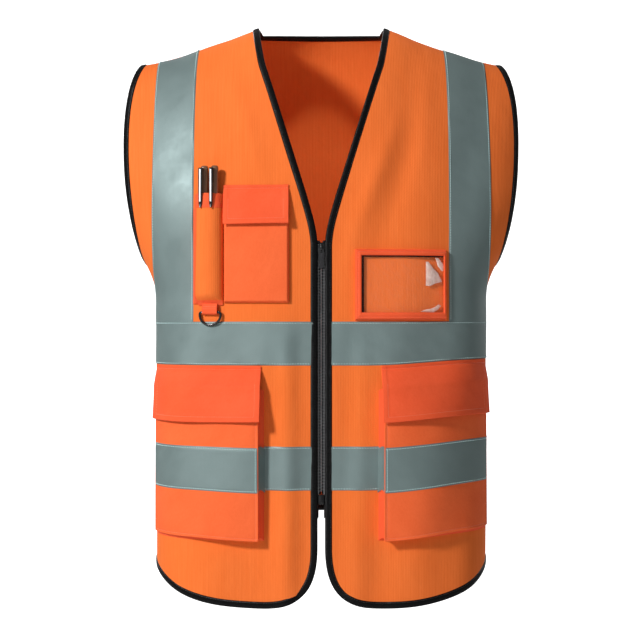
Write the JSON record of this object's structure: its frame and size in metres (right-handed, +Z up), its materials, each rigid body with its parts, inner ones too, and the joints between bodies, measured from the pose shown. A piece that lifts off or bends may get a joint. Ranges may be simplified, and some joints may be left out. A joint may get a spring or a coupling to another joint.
{
  "type": "high-visibility work vest",
  "caption": "Sleeveless zipped safety vest with reflective bands, bound edges, bellows and chest pockets, a card window and a D-ring.",
  "frame": {"origin": "the nape: the middle of the back neck edge, which lies on the back of the wearer's neck", "axes": "+Z up, the wearer faces -Y, the wearer's right is -X"},
  "size_m": [0.468, 0.2581, 0.6891],
  "materials": {
    "orange_knit": "matte",
    "red_orange_cloth": "matte",
    "silver_tape": "satin",
    "black_binding": "satin",
    "zip_cloth": "matte",
    "black_plastic": "satin",
    "black_metal": "gloss",
    "clear_film": "gloss",
    "hook_tape": "matte",
    "chrome": "polished"
  },
  "bodies": {
    "back": {"armhole_binding_back_left": "black_binding", "armhole_binding_back_right": "black_binding", "back_panel": "orange_knit", "hem_binding_back": "black_binding", "lower_tape_back": "silver_tape", "neck_binding_back": "black_binding", "shoulder_tape_back_left": "silver_tape", "shoulder_tape_back_right": "silver_tape", "upper_tape_back": "silver_tape"},
    "front_right": {"armhole_binding_front_right": "black_binding", "bellows_face_right": "red_orange_cloth", "bellows_gusset_right": "red_orange_cloth", "bellows_loop_patch_right": "hook_tape", "bellows_tape_right": "silver_tape", "d_ring_tab": "red_orange_cloth", "front_edge_binding_right": "black_binding", "front_panel_right": "orange_knit", "lower_tape_front_right": "silver_tape", "pen_pocket": "red_orange_cloth", "phone_loop_patch": "hook_tape", "phone_pocket": "red_orange_cloth", "shoulder_tape_front_right": "silver_tape", "upper_tape_front_right": "silver_tape", "zip_insertion_pin": "black_plastic", "zip_tape_right": "zip_cloth", "zip_teeth_right": "black_plastic", "zip_top_stop_right": "black_plastic"},
    "front_left": {"armhole_binding_front_left": "black_binding", "bellows_face_left": "red_orange_cloth", "bellows_gusset_left": "red_orange_cloth", "bellows_loop_patch_left": "hook_tape", "bellows_tape_left": "silver_tape", "card_window_film": "clear_film", "card_window_frame": "red_orange_cloth", "front_edge_binding_left": "black_binding", "front_panel_left": "orange_knit", "lower_tape_front_left": "silver_tape", "shoulder_tape_front_left": "silver_tape", "upper_tape_front_left": "silver_tape", "zip_retaining_box": "black_plastic", "zip_tape_left": "zip_cloth", "zip_teeth_left": "black_plastic", "zip_top_stop_left": "black_plastic"},
    "slider": {"zip_slider": "black_metal"},
    "pull": {"zip_pull": "black_metal"},
    "chest_flap": {"phone_flap": "red_orange_cloth", "phone_hook_patch": "hook_tape"},
    "lower_flap_right": {"bellows_flap_right": "red_orange_cloth", "bellows_hook_patch_right": "hook_tape"},
    "lower_flap_left": {"bellows_flap_left": "red_orange_cloth", "bellows_hook_patch_left": "hook_tape"},
    "ring": {"d_ring": "black_metal"},
    "pen_1": {"pen_barrel_1": "black_plastic", "pen_clip_1": "chrome"},
    "pen_2": {"pen_barrel_2": "black_plastic", "pen_clip_2": "chrome"}
  },
  "joints": [
    {"name": "front_right_open", "type": "hinge", "parent": "back", "child": "front_right", "pos_m": [-0.221, -0.05405, -0.049], "axis": [0.03, 0, -0.9995], "range_deg": [0, 30]},
    {"name": "front_left_open", "type": "hinge", "parent": "back", "child": "front_left", "pos_m": [0.221, -0.05405, -0.049], "axis": [0.03, 0, 0.9995], "range_deg": [0, 30.01]},
    {"name": "slider_slide", "type": "slide", "parent": "front_left", "child": "slider", "axis": [0, 0, -1], "range_m": [0, 0.2761]},
    {"name": "pull_swing", "type": "hinge", "parent": "slider", "child": "pull", "pos_m": [0, -0.1811, -0.2757], "axis": [-1, 0, 0], "range_deg": [0, 100]},
    {"name": "chest_flap_lift", "type": "hinge", "parent": "front_right", "child": "chest_flap", "pos_m": [-0.0743, -0.18085, -0.203], "axis": [-1, 0, 0], "range_deg": [0, 120]},
    {"name": "lower_flap_right_lift", "type": "hinge", "parent": "front_right", "child": "lower_flap_right", "pos_m": [-0.13859, -0.16732, -0.411], "axis": [-0.899, 0.438, 0], "range_deg": [0, 110]},
    {"name": "lower_flap_left_lift", "type": "hinge", "parent": "front_left", "child": "lower_flap_left", "pos_m": [0.13859, -0.16732, -0.411], "axis": [-0.899, -0.438, 0], "range_deg": [0, 110]},
    {"name": "d_ring_swing", "type": "hinge", "parent": "front_right", "child": "ring", "pos_m": [-0.1277, -0.17203, -0.348], "axis": [-0.958, 0.2867, 0], "range_deg": [0, 110]},
    {"name": "pen_1_slide", "type": "slide", "parent": "front_right", "child": "pen_1", "axis": [0.006, -0.011, 0.9999], "range_m": [0, 0.12]},
    {"name": "pen_2_slide", "type": "slide", "parent": "front_right", "child": "pen_2", "axis": [0.003, -0.003, 1], "range_m": [0, 0.12]}
  ],
  "couplings": [
    {"joint": "front_left_open", "follows": "front_right_open", "ratio": 1},
    {"joint": "slider_slide", "follows": "front_right_open", "m_per_rad": 0.52712}
  ]
}
